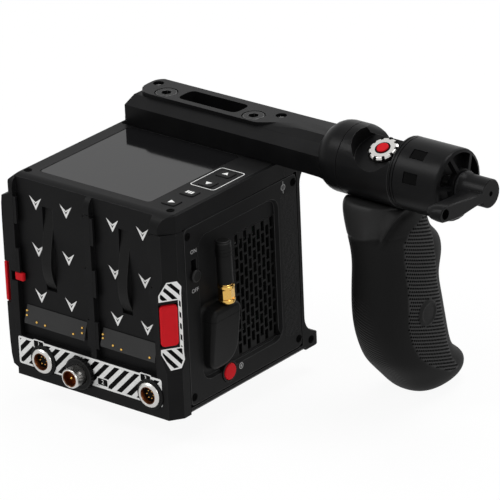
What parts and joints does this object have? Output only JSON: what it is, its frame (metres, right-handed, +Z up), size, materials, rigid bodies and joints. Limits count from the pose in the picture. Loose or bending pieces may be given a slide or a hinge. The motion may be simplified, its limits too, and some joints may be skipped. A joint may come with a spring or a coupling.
{
  "type": "cinema camera rig",
  "caption": "Box-shaped cinema camera with a top screen, rear battery bays, side vent and antenna, and a bolted top beam carrying a swivelling hand grip with a clamp lever.",
  "frame": {"origin": "middle of the camera body's bottom face", "axes": "+X to the operator's right, where the grip is; +Y the way the lens looks; +Z up"},
  "size_m": [0.2078, 0.145, 0.1334],
  "materials": {
    "housing": "black powder coat, fine grain",
    "anodised": "black anodised, satin",
    "rubber": "matt, lightly textured",
    "plastic": "fine grain",
    "red_plastic": "satin",
    "silver": "satin nickel",
    "steel": "dark oxide and ground steel",
    "gold": "gold plated",
    "glass": "smoked, polished",
    "board": "solder mask",
    "bare_aluminium": "extruded"
  },
  "bodies": {
    "camera": {"chassis": "housing", "top_cover": "housing", "rear_housing": "housing", "right_side_panel": "housing", "left_side_panel": "housing", "base_plate": "anodised", "handle_beam": "anodised", "vent_grille": "plastic", "record_ring": "plastic", "antenna_base": "plastic", "bay_spring_left": "plastic", "bay_spring_right": "plastic", "contact_block_left": "plastic", "contact_block_right": "plastic", "coax_flange": "plastic", "audio_jack_low": "plastic", "audio_jack_high": "plastic", "card_reader": "plastic", "fan_frame": "plastic", "display_panel": "plastic", "lens_mount_ring": "silver", "round_socket_left": "silver", "round_socket_right": "silver", "coax_socket": "silver", "beam_bolt_left": "steel", "beam_bolt_right": "steel", "pivot_shaft": "steel", "thrust_washer": "steel", "door_pin": "steel", "screen_glass": "glass", "sensor_glass": "glass", "sensor_block": "board", "main_board": "board", "heat_sink": "bare_aluminium"},
    "grip": {"grip_head": "anodised", "grip_shell": "rubber", "clamp_collar": "anodised", "trigger_bezel": "silver"},
    "lever": {"clamp_lever": "anodised"},
    "trigger": {"trigger_button": "red_plastic"},
    "record": {"record_button": "red_plastic"},
    "play": {"play_button": "rubber"},
    "select": {"select_button": "rubber"},
    "down": {"down_button": "rubber"},
    "up": {"up_button": "rubber"},
    "power": {"power_slider": "plastic"},
    "left_release": {"release_left": "red_plastic"},
    "left_latch": {"latch_tab_left": "red_plastic"},
    "right_release": {"release_right": "red_plastic"},
    "right_latch": {"latch_tab_right": "red_plastic"},
    "lens_release": {"lens_release_button": "housing"},
    "lens_lock": {"lens_lock_pin": "steel"},
    "door": {"media_door": "housing"},
    "fan": {"fan_rotor": "plastic"},
    "antenna": {"antenna_nut": "gold", "antenna_sleeve": "plastic"}
  },
  "joints": [
    {"name": "grip_swivel", "type": "hinge", "parent": "camera", "child": "grip", "pos_m": [0.096, 0.0365, 0.1048], "axis": [1, 0, 0], "range_deg": [-60, 90]},
    {"name": "lever_swing", "type": "hinge", "parent": "grip", "child": "lever", "pos_m": [0.15, 0.0365, 0.1048], "axis": [1, 0, 0], "range_deg": [-60, 60]},
    {"name": "trigger_press", "type": "slide", "parent": "grip", "child": "trigger", "axis": [0, 0.3907, -0.9205], "range_m": [0, 0.0008], "stiffness_N_per_m": 900},
    {"name": "record_press", "type": "slide", "parent": "camera", "child": "record", "axis": [-1, 0, 0], "range_m": [0, 0.0008], "stiffness_N_per_m": 900},
    {"name": "play_press", "type": "slide", "parent": "camera", "child": "play", "axis": [0, 0, -1], "range_m": [0, 0.0005], "stiffness_N_per_m": 900},
    {"name": "select_press", "type": "slide", "parent": "camera", "child": "select", "axis": [0, 0, -1], "range_m": [0, 0.0005], "stiffness_N_per_m": 900},
    {"name": "down_press", "type": "slide", "parent": "camera", "child": "down", "axis": [0, 0, -1], "range_m": [0, 0.0005], "stiffness_N_per_m": 900},
    {"name": "up_press", "type": "slide", "parent": "camera", "child": "up", "axis": [0, 0, -1], "range_m": [0, 0.0005], "stiffness_N_per_m": 900},
    {"name": "power_slide", "type": "slide", "parent": "camera", "child": "power", "axis": [0, 0, 1], "range_m": [0, 0.006]},
    {"name": "left_release_press", "type": "slide", "parent": "camera", "child": "left_release", "axis": [1, 0, 0], "range_m": [0, 0.0012], "stiffness_N_per_m": 1200},
    {"name": "left_latch_draw", "type": "slide", "parent": "camera", "child": "left_latch", "axis": [-1, 0, 0], "range_m": [0, 0.0015]},
    {"name": "right_release_press", "type": "slide", "parent": "camera", "child": "right_release", "axis": [-0.8256, 0.5642, 0], "range_m": [0, 0.0012], "stiffness_N_per_m": 1200},
    {"name": "right_latch_draw", "type": "slide", "parent": "camera", "child": "right_latch", "axis": [1, 0, 0], "range_m": [0, 0.0015]},
    {"name": "lens_release_press", "type": "slide", "parent": "camera", "child": "lens_release", "axis": [0, -1, 0], "range_m": [0, 0.002], "stiffness_N_per_m": 900},
    {"name": "lens_lock_draw", "type": "slide", "parent": "camera", "child": "lens_lock", "axis": [0, -1, 0], "range_m": [0, 0.002]},
    {"name": "door_hinge", "type": "hinge", "parent": "camera", "child": "door", "pos_m": [-0.0448, 0.0024, 0.051], "axis": [0, 0, 1], "range_deg": [-100, 0]},
    {"name": "fan_spin", "type": "hinge", "parent": "camera", "child": "fan", "pos_m": [0.0396, 0.0103, 0.0436], "axis": [1, 0, 0], "continuous": true},
    {"name": "antenna_turn", "type": "hinge", "parent": "camera", "child": "antenna", "pos_m": [0.0497, -0.0163, 0.0468], "axis": [0, -0.0349, 0.9994], "range_deg": [-180, 180]}
  ],
  "couplings": [
    {"joint": "left_latch_draw", "follows": "left_release_press", "ratio": 1.25},
    {"joint": "right_latch_draw", "follows": "right_release_press", "ratio": 1.25},
    {"joint": "lens_lock_draw", "follows": "lens_release_press", "ratio": 1}
  ]
}
